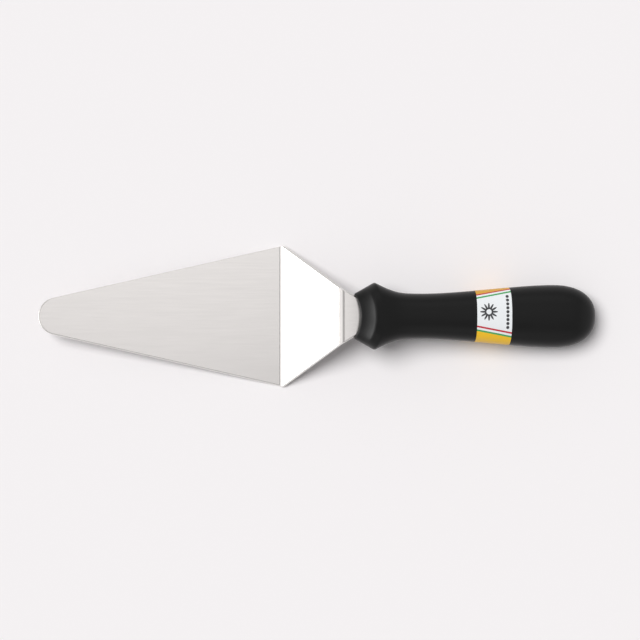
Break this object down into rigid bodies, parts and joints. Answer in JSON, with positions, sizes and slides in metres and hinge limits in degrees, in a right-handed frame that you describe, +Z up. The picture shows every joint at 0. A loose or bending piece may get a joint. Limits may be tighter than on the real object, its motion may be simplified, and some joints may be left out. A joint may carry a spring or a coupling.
{
  "type": "cake spatula",
  "caption": "Cake spatula with a long tapered steel blade, a cranked riser, and a black waisted plastic handle with a wrapped paper label, lying heel-down for lifting and serving slices.",
  "frame": {"origin": "middle of the footprint's bounding box, on the table that it lies on", "axes": "+X along the length from the blade's tip to the handle's butt, +Z up from the table, +Y across the blade"},
  "size_m": [0.28, 0.0716, 0.0315],
  "materials": {
    "steel": "fine satin with polished edges",
    "plastic": "moulded satin black",
    "print": "printed and varnished"
  },
  "bodies": {
    "root": {"blade": "steel", "handle": "plastic", "label": "print"}
  },
  "joints": []
}
